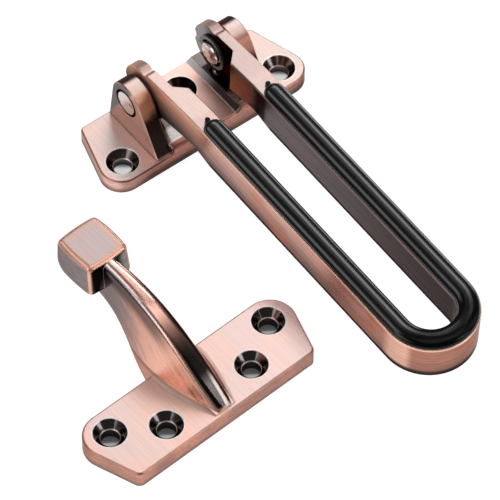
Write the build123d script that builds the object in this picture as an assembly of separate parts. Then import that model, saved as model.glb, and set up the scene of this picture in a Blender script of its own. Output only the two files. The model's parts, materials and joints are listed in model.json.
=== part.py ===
from build123d import *
import math
import os

os.makedirs("parts", exist_ok=True)

# Swing-bar guard: a hinge plate with a U-shaped bar on two pins, and the keeper that the bar swings over.
# Millimetres and degrees. X runs along the hinge plate, -Y points along the laid-out bar, +Z is up from
# the mounting plane. The origin lies midway between the two outer screw holes of the hinge plate.

# Screw holes, for 4 mm countersunk wood screws
screw_bore = 5.0
screw_mouth = 8.9
screw_cone_depth = 2.45

# Hinge plate outline, measured from the row of outer screw holes
hinge_screw_spacing = 52.0
middle_screw_back = 9.2
plate_back = 15.8
plate_front = 6.6
plate_back_length = 56.6
plate_end_slant = 16.2
plate_round_corner = 6.0
plate_small_corner = 1.5
tab_thickness = 4.5
plate_edge_bevel = 0.4

# Middle of the hinge plate, between the ears
pad_width = 13.8
pad_drop = 0.9
land_slope_width = 1.7
land_front_round = 1.1

# Hinge ears and the pin axis
pin_back = 7.65
pin_height = 15.8
ear_thickness = 4.95
ear_round = 6.2
ear_foot_height = 3.0
ear_edge_bevel = 0.35

# Pivot pins, with a flat head in a counterbore of the ear
pin_diameter = 6.6
pin_head_diameter = 7.5
pin_head_thickness = 1.2
pin_head_gap = 0.5
pin_end_length = 1.6
pin_end_chamfer = 0.35
pin_press_clearance = 0.02
pin_running_clearance = 0.05

# Spring clips on the inner pin ends
clip_thickness = 0.7
clip_diameter = 10.4
clip_band = 1.05
clip_groove_depth = 0.4
clip_prong_width = 1.7
clip_mouth_angle = 86.0
clip_side_play = 0.1
clip_fit = 0.02

# Thrust washers between ears and eyes
washer_thickness = 0.6
washer_diameter = 11.0
side_play = 0.1

# Swing bar: two eyes, a short knuckle that rises, then the long legs that drop towards the round end
bar_width = 26.2
slot_width = 13.4
bar_depth = 11.5
leg_length = 95.2
leg_drop = 2.85
knuckle_length = 21.65
knuckle_rise = 2.6
knuckle_depth = 10.0
arch_length = 8.0
arch_round = 4.0
eye_radius = 8.2
eye_thickness = 3.1
eye_arm_length = 9.0
eye_root_depth = 12.2
eye_root_round = 3.0
bar_edge_bevel = 0.3

# Bumper strip in the groove on top of the bar
strip_height = 1.95
strip_shoulder = 0.25
strip_start = 2.75
strip_rim = 0.3
strip_seat_depth = 0.8
strip_clearance = 0.05
strip_nub_diameter = 1.4
strip_nub_height = 0.8

# Detents: a sprung ball under each eye, and a notch in the eye at every quarter turn
ball_diameter = 4.0
ball_travel = 0.7
ball_clearance = 0.06
eye_gap = 0.8
notch_clearance = 0.12
notch_angles = (270.0, 180.0, 90.0)
spring_wire = 0.36
spring_turns = 3
plug_thickness = 1.1
plug_inset = 0.3
plug_slot_width = 0.7
plug_slot_depth = 0.4

# Keeper plate, measured from its own row of outer screw holes
keeper_screw_spacing = 53.0
keeper_inner_spacing = 28.4
keeper_inner_front = 7.5
keeper_back = 6.7
keeper_front = 15.0
keeper_front_length = 58.6
keeper_end_slant = 18.8
keeper_round_corner = 7.0
keeper_small_corner = 2.0
keeper_thickness = 5.2
keeper_edge_bevel = 0.5

# Keeper horn, given by its cross-sections from the front root to inside the knob
horn_root_front = 13.7
horn_root_height = 6.1
horn_shin_front = 4.0
horn_shin_height = 12.4
horn_waist_back = 4.4
horn_waist_height = 17.5
horn_neck_back = 18.0
horn_neck_height = 22.3
horn_neck_foot = 6.0
horn_throat_back = 29.0
horn_throat_height = 23.0
horn_throat_foot = 9.7
horn_tip_height = 23.0
horn_tip_foot = 11.6
horn_ridge_width = 5.0
horn_tip_width = 4.0
horn_root_width = 6.4
horn_shin_width = 13.0
horn_waist_width = 16.2
horn_neck_width = 10.4
horn_throat_width = 5.5
horn_tip_foot_width = 4.6
horn_ridge_roundness = 0.44
horn_skirt_reach = 1.5
horn_skirt_rise = 1.5
horn_skirt_start = 0.2
horn_skirt_hollow = 0.25

# Keeper knob
knob_front = 31.4
knob_length = 13.1
knob_width = 12.8
knob_bottom = 13.2
knob_top = 23.8
knob_bow = 0.5
knob_flare = 0.5
knob_front_lean = 1.1
knob_heel_round = 4.2
knob_edge_round = 1.7

# Where the keeper stands, from the hinge plate's origin
keeper_x = -54.2
keeper_y = -66.55
keeper_turn = 3.6

# A length by which cutting tools run past the faces that they cut
overrun = 2.0

# Sizes that follow from the fits
bar_half = bar_width / 2
slot_half = slot_width / 2
eye_inner = bar_half - eye_thickness
ear_inner = bar_half + washer_thickness + 2 * side_play
ear_outer = ear_inner + ear_thickness
land_height = pin_height - eye_radius - eye_gap
pad_height = land_height - pad_drop
ball_radius = ball_diameter / 2
ball_low = pin_height - eye_radius - ball_clearance - ball_radius
ball_high = ball_low + ball_travel
ball_x = (bar_half + eye_inner) / 2
ball_bore = ball_radius + ball_clearance
clip_outer_face = eye_inner - clip_side_play
clip_inner_face = clip_outer_face - clip_thickness
pin_end_x = clip_inner_face - pin_end_length / 2
leg_width = bar_half - slot_half
leg_centre = (bar_half + slot_half) / 2
strip_width = leg_width - 2 * strip_rim
strip_half = strip_width / 2
u_centre = leg_length - bar_half

# The bar's side view: unit steps along and square to the knuckle and the leg, as (y, z)
rise = math.radians(knuckle_rise)
drop = math.radians(leg_drop)
knuckle_along = Vector(-math.cos(rise), math.sin(rise))
knuckle_up = Vector(math.sin(rise), math.cos(rise))
leg_along = Vector(-math.cos(drop), -math.sin(drop))
leg_up = Vector(-math.sin(drop), math.cos(drop))
pin_centre = Vector(pin_back, pin_height)
eye_top = pin_centre + knuckle_up * eye_radius
bend_top = eye_top + knuckle_along * knuckle_length

# The plane of the leg's top: its origin at the bend, +y back towards the hinge
leg_plane = Plane(
    origin=(0, bend_top.X, bend_top.Y),
    x_dir=(1, 0, 0),
    z_dir=(0, leg_up.X, leg_up.Y),
)


def along_x(radius, start, end, y, z):
    """A round bar along X from start to end."""
    middle = (start + end) / 2
    return Pos(middle, y, z) * Rot(0, 90, 0) * Cylinder(radius, abs(end - start))


def screw_hole(height):
    """Cutter for a countersunk hole through a plate of this height."""
    bore_radius = screw_bore / 2
    flare = (screw_mouth - screw_bore) / 2 / screw_cone_depth
    bore = Cylinder(bore_radius, height + 2 * overrun, align=(Align.CENTER, Align.CENTER, Align.MIN))
    cone = Cone(
        bore_radius,
        screw_mouth / 2 + flare * overrun,
        screw_cone_depth + overrun,
        align=(Align.CENTER, Align.CENTER, Align.MIN),
    )
    return Pos(0, 0, -overrun) * bore + Pos(0, 0, height - screw_cone_depth) * cone


def both_sides(shape):
    """The shape and its mirror image across the middle plane."""
    return shape + mirror(shape, about=Plane.YZ)


def slanted_plate(short_half, long_half, depth, thickness, small_corner, round_corner, edge_bevel):
    """A plate with slanted ends: its short edge on the X axis, its long edge at y = depth."""
    corners = [(-short_half, 0), (short_half, 0), (long_half, depth), (-long_half, depth)]
    outline = Polygon(*corners, align=None)
    outline = fillet(outline.vertices().group_by(Axis.Y)[-1], round_corner)
    outline = fillet(outline.vertices().group_by(Axis.Y)[0], small_corner)
    plate = extrude(outline, thickness, dir=(0, 0, 1))
    return chamfer(plate.faces().sort_by(Axis.Z)[-1].edges(), edge_bevel)


def make_hinge_plate():
    """The casting that is screwed down: tabs, pad, lands and ears."""
    depth = plate_back + plate_front
    back_half = plate_back_length / 2
    front_half = back_half + depth * math.tan(math.radians(plate_end_slant))
    tabs = slanted_plate(
        back_half, front_half, depth, tab_thickness, plate_small_corner, plate_round_corner, plate_edge_bevel
    )
    tabs = Pos(0, plate_back, 0) * Rot(0, 0, 180) * tabs

    pad_half = pad_width / 2
    land_end = ear_inner + ear_edge_bevel
    right_half = [
        (land_end, 0),
        (land_end, land_height),
        (pad_half + land_slope_width, land_height),
        (pad_half, pad_height),
    ]
    left_half = [(-x, z) for x, z in reversed(right_half)]
    back_plane = Plane(origin=(0, plate_back, 0), x_dir=(1, 0, 0), z_dir=(0, -1, 0))
    middle = extrude(back_plane * Polygon(*right_half, *left_half, align=None), depth)
    front_edges = middle.faces().sort_by(Axis.Y)[0].edges()
    middle = fillet(front_edges.filter_by(lambda e: e.center().Z > pad_height - pad_drop), land_front_round)

    foot = Pos((plate_back - plate_front) / 2, ear_foot_height / 2) * Rectangle(depth, ear_foot_height)
    head = Pos(pin_back, pin_height) * Circle(ear_round)
    ear_outline = make_hull((foot + head).edges())
    ear = Pos(ear_inner, 0, 0) * extrude(Plane.YZ * ear_outline, ear_thickness)
    ear_rims = ear.edges().filter_by(lambda e: e.center().Z > ear_foot_height)
    ear = chamfer(ear_rims, ear_edge_bevel)
    plate = tabs + middle + both_sides(ear)

    head_radius = pin_head_diameter / 2 + pin_head_gap
    counterbore = along_x(head_radius, ear_outer - pin_head_thickness, ear_outer + overrun, pin_back, pin_height)
    pin_bore_radius = pin_diameter / 2 + pin_press_clearance
    pin_bore = along_x(pin_bore_radius, ear_inner - overrun, ear_outer + overrun, pin_back, pin_height)
    plate -= both_sides(counterbore + pin_bore)

    plate -= both_sides(Pos(hinge_screw_spacing / 2, 0, 0) * screw_hole(tab_thickness))
    plate -= Pos(0, middle_screw_back, 0) * screw_hole(pad_height)
    plate -= both_sides(make_ball_bore())
    return plate


def make_ball_bore():
    """Cutter for a ball bore, open below, with a lip at the top that keeps the ball in."""
    rise_at_lip = land_height - ball_high
    lip = math.sqrt(ball_radius**2 - rise_at_lip**2) + ball_clearance
    bore = Pos(ball_x, pin_back, -overrun) * Cylinder(
        ball_bore, ball_high + overrun, align=(Align.CENTER, Align.CENTER, Align.MIN)
    )
    cone = Pos(ball_x, pin_back, ball_high) * Cone(
        ball_bore, lip, rise_at_lip, align=(Align.CENTER, Align.CENTER, Align.MIN)
    )
    mouth = Pos(ball_x, pin_back, land_height) * Cylinder(
        lip, overrun, align=(Align.CENTER, Align.CENTER, Align.MIN)
    )
    return bore + cone + mouth


def make_pivot_pin():
    """Right-hand pin: head in the ear, groove for the clip, plain chamfered end inside."""
    radius = pin_diameter / 2
    shank = along_x(radius, pin_end_x, ear_outer - pin_head_thickness / 2, pin_back, pin_height)
    shank = chamfer(shank.edges().sort_by(Axis.X)[0], pin_end_chamfer)
    head = along_x(pin_head_diameter / 2, ear_outer - pin_head_thickness, ear_outer, pin_back, pin_height)
    head = chamfer(head.edges().sort_by(Axis.X)[-1], pin_end_chamfer / 2)
    groove_ring = along_x(radius + overrun, clip_inner_face - clip_fit, clip_outer_face + clip_fit, pin_back, pin_height)
    groove_core = along_x(radius - clip_groove_depth, 0, ear_outer, pin_back, pin_height)
    return shank + head - (groove_ring - groove_core)


def make_pin_clip():
    """Right-hand clip: an open ring with three prongs that reach into the pin's groove."""
    outer = clip_diameter / 2
    inner = outer - clip_band
    reach = pin_diameter / 2 - clip_groove_depth + clip_fit
    far = outer * 2
    half_mouth = math.radians(clip_mouth_angle / 2)
    mouth = Polygon(
        (0, 0),
        (far * math.cos(half_mouth), far * math.sin(half_mouth)),
        (far * math.cos(half_mouth), -far * math.sin(half_mouth)),
        align=None,
    )
    ring = Circle(outer) - Circle(inner) - mouth
    spoke = Pos(inner / 2 + clip_band / 4, 0) * Rectangle(inner + clip_band / 2, clip_prong_width)
    prong_turn = clip_mouth_angle / 2 + math.degrees(clip_prong_width / 2 / inner)
    for angle in (180.0, prong_turn, -prong_turn):
        ring += Rot(0, 0, angle) * spoke
    ring -= Circle(reach)
    clip = extrude(Plane.YZ * ring, clip_thickness)
    return Pos(clip_inner_face, pin_back, pin_height) * Rot(-45, 0, 0) * clip


def make_thrust_washer():
    """Right-hand washer between the ear and the eye."""
    start = bar_half + side_play
    disc = along_x(washer_diameter / 2, start, start + washer_thickness, pin_back, pin_height)
    hole_radius = pin_diameter / 2 + pin_running_clearance
    return disc - along_x(hole_radius, start - overrun, start + 2 * overrun, pin_back, pin_height)


def make_detent_ball():
    """Right-hand ball, at the low end of its travel."""
    return Pos(ball_x, pin_back, ball_low) * Sphere(ball_radius)


def make_detent_plug():
    """Right-hand plug with a driver slot, in the lower end of the ball bore."""
    radius = ball_bore - pin_press_clearance
    plug = Pos(ball_x, pin_back, plug_inset + plug_thickness / 2) * Cylinder(radius, plug_thickness)
    slot = Pos(ball_x, pin_back, plug_inset) * Box(2 * ball_bore, plug_slot_width, 2 * plug_slot_depth)
    return plug - slot


def make_detent_spring():
    """Right-hand spring of square wire between the plug and the ball."""
    half_wire = spring_wire / 2
    coil_radius = ball_bore - half_wire - 3 * ball_clearance
    contact_drop = math.sqrt(ball_radius**2 - (coil_radius - half_wire) ** 2)
    bottom = plug_inset + plug_thickness + half_wire
    top = ball_low - contact_drop - ball_clearance - half_wire
    height = top - bottom
    coil = Helix(pitch=height / spring_turns, height=height, radius=coil_radius)
    section = Plane(origin=coil @ 0, z_dir=coil % 0) * Rectangle(spring_wire, spring_wire)
    return Pos(ball_x, pin_back, bottom) * sweep(section, path=coil, is_frenet=True)


def make_bar_side():
    """The bar's side view: eye, knuckle with its arch, and the long leg."""
    bend_bottom = bend_top - knuckle_up * knuckle_depth
    leg_end = bend_top + leg_along * leg_length
    arch_end = bend_top + leg_along * arch_length - leg_up * bar_depth
    root = eye_top - knuckle_up * eye_root_depth
    corners = [
        eye_top,
        bend_top,
        leg_end,
        leg_end - leg_up * bar_depth,
        arch_end,
        bend_bottom,
        root,
    ]
    arm = Polygon(*[(p.X, p.Y) for p in corners], align=None)
    arch_points = [(bend_bottom.X, bend_bottom.Y, 0), (arch_end.X, arch_end.Y, 0)]
    for point in arch_points:
        arm = fillet(arm.vertices().sort_by_distance(point)[0], arch_round)
    outline = arm + Pos(pin_back, pin_height) * Circle(eye_radius)
    joint = pin_centre + (bend_bottom - pin_centre).normalized() * eye_radius
    return fillet(outline.vertices().sort_by_distance((joint.X, joint.Y, 0))[0], eye_root_round)


def make_bar_plan():
    """The bar's outline seen square to its top: a U whose arms thin to the two eyes."""
    back = knuckle_length + 2 * eye_radius
    length = u_centre + back
    centre_y = (back - u_centre) / 2
    outer = Pos(0, centre_y) * Rectangle(bar_width, length) + Pos(0, -u_centre) * Circle(bar_half)
    slot = Pos(0, centre_y) * Rectangle(slot_width, length) + Pos(0, -u_centre) * Circle(slot_half)
    step_start = knuckle_length - eye_arm_length
    step = eye_inner - slot_half
    recess = Polygon(
        (-eye_inner, back),
        (-eye_inner, step_start),
        (-slot_half, step_start - step),
        (slot_half, step_start - step),
        (eye_inner, step_start),
        (eye_inner, back),
        align=None,
    )
    return outer - slot - recess


def make_strip_path(width):
    """A band of this width along the middle of the bar's legs, with round ends."""
    length = u_centre - strip_start - strip_half
    leg = Pos(leg_centre, -u_centre + length / 2) * Rectangle(width, length)
    end = Pos(leg_centre, -u_centre + length) * Circle(width / 2)
    ring = Circle(leg_centre + width / 2) - Circle(leg_centre - width / 2)
    front_half = Pos(0, -bar_half) * Rectangle(2 * bar_width, bar_width)
    return both_sides(leg + end) + Pos(0, -u_centre) * (ring & front_half)


def make_swing_bar():
    """The bar's casting: side view and plan crossed, then bored, notched and grooved."""
    side = extrude(Plane.YZ * make_bar_side(), bar_half, both=True)
    plan = extrude(leg_plane * make_bar_plan(), 4 * eye_radius, both=True)
    bar = side & plan
    leg_faces = bar.faces().filter_by(lambda f: abs(abs(f.normal_at().dot(leg_plane.z_dir)) - 1) < 1e-6)
    bar = chamfer(leg_faces.edges(), bar_edge_bevel)
    bar -= along_x(pin_diameter / 2 + pin_running_clearance, -ear_outer, ear_outer, pin_back, pin_height)
    notch_radius = ball_radius + notch_clearance
    for angle in notch_angles:
        turn = math.radians(angle)
        y = pin_back - (pin_height - ball_high) * math.cos(turn)
        z = pin_height + (pin_height - ball_high) * math.sin(turn)
        bar -= along_x(notch_radius, -ear_outer, ear_outer, y, z)
    groove = make_strip_path(strip_width + 2 * strip_clearance)
    return bar - extrude(leg_plane * groove, strip_seat_depth, both=True)


def make_bumper_strip():
    """The bead: a rounded section run along both legs and round the end, with a nub at each end."""
    low = strip_clearance - strip_seat_depth
    half_section = make_face(
        Polyline((0, strip_height), (0, low), (strip_half, low), (strip_half, strip_shoulder))
        + EllipticalCenterArc((0, strip_shoulder), strip_half, strip_height - strip_shoulder, arc_size=90)
    )
    length = u_centre - strip_start - strip_half
    upright = Plane(origin=(0, 0, 0), x_dir=(1, 0, 0), z_dir=(0, -1, 0))
    half = upright * half_section
    section = half + mirror(half, about=Plane.YZ)
    leg = Pos(leg_centre, length, 0) * extrude(section, length)
    cap = Pos(leg_centre, length, 0) * revolve(half, Axis.Z, 180)
    bend = revolve(Pos(leg_centre, 0, 0) * section, Axis.Z, -180)
    nub_y = length + strip_half + strip_nub_diameter / 4
    nub = Pos(leg_centre, nub_y, strip_clearance) * Cylinder(
        strip_nub_diameter / 2, strip_nub_height, align=(Align.CENTER, Align.CENTER, Align.MIN)
    )
    strip = both_sides(leg + cap + nub) + bend
    return leg_plane * Pos(0, -u_centre, 0) * strip


def horn_section(y, ridge_height, foot_height, ridge_width, foot_width):
    """One cross-section of the horn: wider at its foot, with a rounded ridge."""
    plane = Plane(origin=(0, y, 0), x_dir=(1, 0, 0), z_dir=(0, -1, 0))
    outline = Polygon(
        (-foot_width / 2, foot_height),
        (foot_width / 2, foot_height),
        (ridge_width / 2, ridge_height),
        (-ridge_width / 2, ridge_height),
        align=None,
    )
    return plane * fillet(outline.vertices().group_by(Axis.Y)[-1], ridge_width * horn_ridge_roundness)


def horn_half(foot_width, foot_height, ridge_height):
    """Half the width of a horn section where it comes out of the plate."""
    sunk = (keeper_thickness - foot_height) / (ridge_height - foot_height)
    return foot_width / 2 - sunk * (foot_width - horn_ridge_width) / 2


def skirt_section(y, root_half, size):
    """One cross-section of the hollow skirt where the horn stands on the plate."""
    plane = Plane(origin=(0, y, 0), x_dir=(1, 0, 0), z_dir=(0, -1, 0))
    reach = size * horn_skirt_reach
    rise = size * horn_skirt_rise
    low = (root_half + reach, keeper_thickness / 2)
    foot = (root_half + reach, keeper_thickness)
    hollow = (root_half + reach * horn_skirt_hollow, keeper_thickness + rise * horn_skirt_hollow)
    head = (root_half - rise / 2, keeper_thickness + rise)
    left = [(-x, z) for x, z in (low, foot, hollow, head)]
    outline = Polyline(left[1], left[0], low, foot)
    outline += ThreePointArc(foot, hollow, head)
    outline += Line(head, left[3])
    outline += ThreePointArc(left[3], left[2], left[1])
    return plane * make_face(outline)


def bowed_rectangle(width, length):
    """A rectangle whose four sides bow outwards, for the knob."""
    x = width / 2
    y = length / 2
    outline = ThreePointArc((-x, -y), (0, -y - knob_bow), (x, -y))
    outline += ThreePointArc((x, -y), (x + knob_bow, 0), (x, y))
    outline += ThreePointArc((x, y), (0, y + knob_bow), (-x, y))
    outline += ThreePointArc((-x, y), (-x - knob_bow, 0), (-x, -y))
    return make_face(outline)


def make_knob():
    """The pillow-shaped knob: wider below, with a leaning front and a rounded heel."""
    knob_back = knob_front + knob_length
    bottom_length = knob_length + knob_front_lean
    bottom_width = knob_width + 2 * knob_flare
    bottom = Pos(0, knob_back - bottom_length / 2, knob_bottom) * bowed_rectangle(bottom_width, bottom_length)
    top = Pos(0, knob_back - knob_length / 2, knob_top) * bowed_rectangle(knob_width, knob_length)
    knob = loft([bottom, top])
    heel = knob.edges().sort_by_distance((0, knob_back, knob_bottom))[0]
    knob = fillet(heel, knob_heel_round)
    return fillet(knob.edges(), knob_edge_round)


def make_keeper():
    """The keeper casting: plate, horn and knob, made at its own origin and then put in place."""
    depth = keeper_back + keeper_front
    front_half = keeper_front_length / 2
    back_half = front_half + depth * math.tan(math.radians(keeper_end_slant))
    plate = Pos(0, -keeper_front, 0) * slanted_plate(
        front_half, back_half, depth, keeper_thickness, keeper_small_corner, keeper_round_corner, keeper_edge_bevel
    )
    root_foot = keeper_thickness / 2
    knob_middle = knob_front + knob_length / 2
    horn = loft([
        horn_section(-horn_root_front, horn_root_height, root_foot, horn_root_width, horn_root_width),
        horn_section(-horn_shin_front, horn_shin_height, root_foot, horn_ridge_width, horn_shin_width),
        horn_section(horn_waist_back, horn_waist_height, root_foot / 2, horn_ridge_width, horn_waist_width),
        horn_section(horn_neck_back, horn_neck_height, horn_neck_foot, horn_ridge_width, horn_neck_width),
        horn_section(horn_throat_back, horn_throat_height, horn_throat_foot, horn_ridge_width, horn_throat_width),
        horn_section(knob_middle, horn_tip_height, horn_tip_foot, horn_tip_width, horn_tip_foot_width),
    ])

    shin_half = horn_half(horn_shin_width, root_foot, horn_shin_height)
    waist_half = horn_half(horn_waist_width, root_foot / 2, horn_waist_height)
    skirt = loft([
        skirt_section(-horn_root_front, horn_root_width / 2, horn_skirt_start),
        skirt_section(-horn_shin_front, shin_half, 1),
        skirt_section(horn_waist_back, waist_half, 1),
        skirt_section(keeper_back - keeper_edge_bevel, waist_half, 1),
    ])

    keeper = plate + horn + skirt + make_knob()
    keeper -= both_sides(Pos(keeper_screw_spacing / 2, 0, 0) * screw_hole(keeper_thickness))
    inner_hole = Pos(keeper_inner_spacing / 2, -keeper_inner_front, 0) * screw_hole(keeper_thickness)
    keeper -= both_sides(inner_hole)
    return Pos(keeper_x, keeper_y, 0) * Rot(0, 0, keeper_turn) * keeper


def save(shape, node):
    """Write one piece to its own file."""
    export_step(shape, f"parts/{node}.step")
    print(node, round(shape.volume, 1), "cubic mm")


save(make_hinge_plate(), "hinge_plate")
save(make_swing_bar(), "swing_bar")
save(make_bumper_strip(), "bumper_strip")
save(make_keeper(), "keeper")

pairs = {
    "pivot_pin": make_pivot_pin,
    "pin_clip": make_pin_clip,
    "thrust_washer": make_thrust_washer,
    "detent_ball": make_detent_ball,
    "detent_spring": make_detent_spring,
    "detent_plug": make_detent_plug,
}
for name, make in pairs.items():
    piece = make()
    save(piece, name + "_right")
    save(mirror(piece, about=Plane.YZ), name + "_left")
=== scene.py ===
# %% [markdown]
# # A hasp latch in brushed antique copper
# The real thing is two zinc castings plated with copper, blackened, and brushed until the copper shows
# again on every face that the brush can reach. A U-shaped bar swings on two pins of the hinge plate,
# and the keeper with its horn stands beside it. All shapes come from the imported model, which this
# script never moves: the work here is the finish of each piece, the light and the camera.

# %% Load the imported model
import json
import math
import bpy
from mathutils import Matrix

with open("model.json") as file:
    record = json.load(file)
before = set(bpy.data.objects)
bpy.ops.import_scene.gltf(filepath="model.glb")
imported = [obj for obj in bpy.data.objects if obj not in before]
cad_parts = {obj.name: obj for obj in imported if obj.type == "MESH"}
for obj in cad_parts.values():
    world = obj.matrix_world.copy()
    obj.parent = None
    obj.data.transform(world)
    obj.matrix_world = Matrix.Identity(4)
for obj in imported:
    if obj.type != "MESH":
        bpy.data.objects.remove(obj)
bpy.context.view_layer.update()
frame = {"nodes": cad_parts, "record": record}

from types import SimpleNamespace

import bpy
from mathutils import Matrix, Vector

MM = 0.001


def in_mm(box):
    """The two corners of a box in millimetres, rounded for printing."""
    return [[round(value / MM, 2) for value in corner] for corner in box]


print("pieces:", len(frame["nodes"]))

# %% [markdown]
# ## Camera
# The photograph was taken from above with a long lens, so parallel edges stay almost parallel. A camera
# can be placed by hand until the edges agree, or worked out from a few measured corners. Here the
# angles were worked out, and the camera looks straight along them from over a metre away.

# %% Directions of the view
VIEW_AZIMUTH = math.radians(-37.6)
VIEW_ELEVATION = math.radians(52.93)

view_right = Vector((math.cos(VIEW_AZIMUTH), math.sin(VIEW_AZIMUTH), 0.0))
view_back = Vector((
    math.sin(VIEW_AZIMUTH) * math.cos(VIEW_ELEVATION),
    -math.cos(VIEW_AZIMUTH) * math.cos(VIEW_ELEVATION),
    math.sin(VIEW_ELEVATION),
))
view_up = view_back.cross(view_right)
print("the camera looks along", [round(value, 3) for value in -view_back])

# %% Place the camera
CAMERA_DISTANCE = 1217.87 * MM
AIM_RIGHT = 12.94 * MM
AIM_UP = -33.33 * MM
PIXELS_PER_MM = 3.76
PICTURE_PIXELS = 500
SENSOR_WIDTH = 36.0
NEAREST_SEEN = 0.05
FARTHEST_SEEN = 20.0

camera = bpy.data.objects.new("camera", bpy.data.cameras.new("camera"))
bpy.context.scene.collection.objects.link(camera)
camera_turn = Matrix((view_right, view_up, view_back)).transposed().to_4x4()
camera_spot = view_right * AIM_RIGHT + view_up * AIM_UP + view_back * CAMERA_DISTANCE
camera.matrix_world = Matrix.Translation(camera_spot) @ camera_turn
camera.data.sensor_width = SENSOR_WIDTH
camera.data.lens = SENSOR_WIDTH * CAMERA_DISTANCE / MM * PIXELS_PER_MM / PICTURE_PIXELS
camera.data.clip_start = NEAREST_SEEN
camera.data.clip_end = FARTHEST_SEEN
bpy.context.scene.camera = camera
print("lens in mm:", round(camera.data.lens, 1))

# %% [markdown]
# ## Building a finish
# A material in Blender is a small network of nodes. It can be wired by hand in the editor, which nobody
# can repeat, or node by node in code, which gets long. So three small classes, each built on the one
# before, keep one material under construction: a method adds a node or two and hands back what comes
# out of them.

# %% Wire nodes together
class Wiring:
    """A material under construction: a network of nodes that ends in one shader."""

    def __init__(self, name):
        self.material = bpy.data.materials.new(name)
        self.material.use_nodes = True
        self.nodes = self.material.node_tree.nodes
        self.links = self.material.node_tree.links
        self.shader = self.nodes["Principled BSDF"]

    def feed(self, socket, value):
        """Links an output to the socket, or sets a plain value on it. A plain colour is three numbers."""
        if isinstance(value, bpy.types.NodeSocket):
            self.links.new(value, socket)
        elif socket.type == "RGBA":
            socket.default_value = (*value, 1.0)
        else:
            socket.default_value = value

    def add(self, kind, inputs=None, **settings):
        """Adds a node of this kind, with its settings and what goes into its sockets."""
        node = self.nodes.new("ShaderNode" + kind)
        for name, value in settings.items():
            setattr(node, name, value)
        for key, value in (inputs or {}).items():
            self.feed(node.inputs[key], value)
        return node

    def surface(self, **sockets):
        """Sets or links sockets of the final shader, such as roughness."""
        for name, value in sockets.items():
            self.feed(self.shader.inputs[name.replace("_", " ").title()], value)


print("wiring ready")

# %% Sums and masks
class Masking(Wiring):
    """Adds sums and masks. A mask is 1 inside a region and 0 outside it."""

    def math(self, operation, first, second=0.0):
        return self.add("Math", {0: first, 1: second}, operation=operation).outputs[0]

    def plus(self, first, second):
        return self.math("ADD", first, second)

    def minus(self, first, second):
        return self.math("SUBTRACT", first, second)

    def times(self, first, second):
        return self.math("MULTIPLY", first, second)

    def fade(self, value, start, end):
        """0 at start, 1 at end, smooth in between."""
        inputs = {"Value": value, "From Min": start, "From Max": end}
        return self.add("MapRange", inputs, interpolation_type="SMOOTHSTEP").outputs[0]

    def band(self, value, rise, fall):
        """1 between two fades: up over the first range and down over the second."""
        return self.times(self.fade(value, *rise), self.fade(value, *fall))

    def all_of(self, first, *others):
        """1 where every mask is 1."""
        for mask in others:
            first = self.times(first, mask)
        return first

    def any_of(self, first, *others):
        """1 where at least one mask is 1."""
        for mask in others:
            first = self.math("MAXIMUM", first, mask)
        return first


print("masks ready")

# %% Mixes, places and noise
class Finish(Masking):
    """Adds mixes of colours and levels, places in a piece's own frame, and noise."""

    def colour(self, mask, under, over):
        """The colour over where the mask is 1, and under where it is 0."""
        return self.add("Mix", {0: mask, 6: under, 7: over}, data_type="RGBA").outputs[2]

    def level(self, mask, under, over):
        """The same for plain numbers."""
        return self.add("Mix", {0: mask, 2: under, 3: over}, data_type="FLOAT").outputs[0]

    def paint(self, colour, *coats):
        """Lays coats over a colour in turn. Each is a mask and the colour that it shows."""
        for mask, over in coats:
            colour = self.colour(mask, colour, over)
        return colour

    def layer(self, level, *coats):
        """The same for a plain number, such as the roughness."""
        for mask, over in coats:
            level = self.level(mask, level, over)
        return level

    def place(self, origin=(0.0, 0.0, 0.0), turn=(0.0, 0.0, 0.0)):
        """Where a point lies in a piece's own frame, in millimetres."""
        spot = self.add("TexCoord").outputs["Object"]
        inputs = {"Vector": spot, "Location": origin, "Rotation": turn, "Scale": (MM, MM, MM)}
        return self.add("Mapping", inputs, vector_type="TEXTURE").outputs[0]

    def split(self, vector):
        return list(self.add("SeparateXYZ", {0: vector}).outputs)

    def look(self, *own_frame):
        """All that a finish asks about a point: its place, and the direction that its surface faces."""
        place = self.place(*own_frame)
        x, y, z = self.split(place)
        face_x, face_y, face_z = self.split(self.add("TexCoord").outputs["Normal"])
        return SimpleNamespace(place=place, x=x, y=y, z=z, face_x=face_x, face_y=face_y, face_z=face_z)

    def noise(self, place, cells, detail=3.0):
        """Cloudy noise, mostly around 0.5, with its cells per millimetre along each axis."""
        scaled = self.add("Mapping", {"Vector": place, "Scale": cells}).outputs[0]
        return self.add("TexNoise", {"Vector": scaled, "Scale": 1.0, "Detail": detail}).outputs[0]


def dress(node, material):
    """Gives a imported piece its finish."""
    frame["nodes"][node].material_slots[0].material = material
    print(node, "wears", material.name, "made of", len(material.node_tree.nodes), "nodes")


print("finish builder ready")

# %% [markdown]
# ## What all copper pieces share
# Brushing leaves fine straight lines, breaks the highlight up and rounds the edges to bright metal.
# Corners that the brush misses stay black. A picture of brushed metal has one size and one direction,
# so the lines are noise stretched along an axis instead. The rounded edges come from a bevel in the
# shading, and the missed corners are found by looking how closed in a point is.

# %% Tones and facings of the castings
TONED = (0.60, 0.30, 0.225)
TONED_BROWN = (0.42, 0.235, 0.19)
OXIDE = (0.135, 0.119, 0.115)
# A pale colour for painted highlights on hole rims and on the horn's toe.
PAINTED_HIGHLIGHT = (0.95, 0.84, 0.80)
DULL_GRAZING = (0.5, 0.45, 0.45)
CLOUD_CELLS = (0.10, 0.05, 0.10)
CLOUD_FADE = (0.35, 0.65)
LEVEL_FACE = (0.75, 0.97)
STEEP_FACE = (0.5, 0.3)
NOISE_MIDDLE = 0.5
print("tones that the castings share:", [TONED, TONED_BROWN, OXIDE, PAINTED_HIGHLIGHT])

# %% Brushed lines
TOP_LINES = (1.5, 0.03, 1.5)
WALL_LINES = (0.25, 0.25, 1.5)
FINER = 3.2
BROAD_SHARE = 0.5


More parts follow.
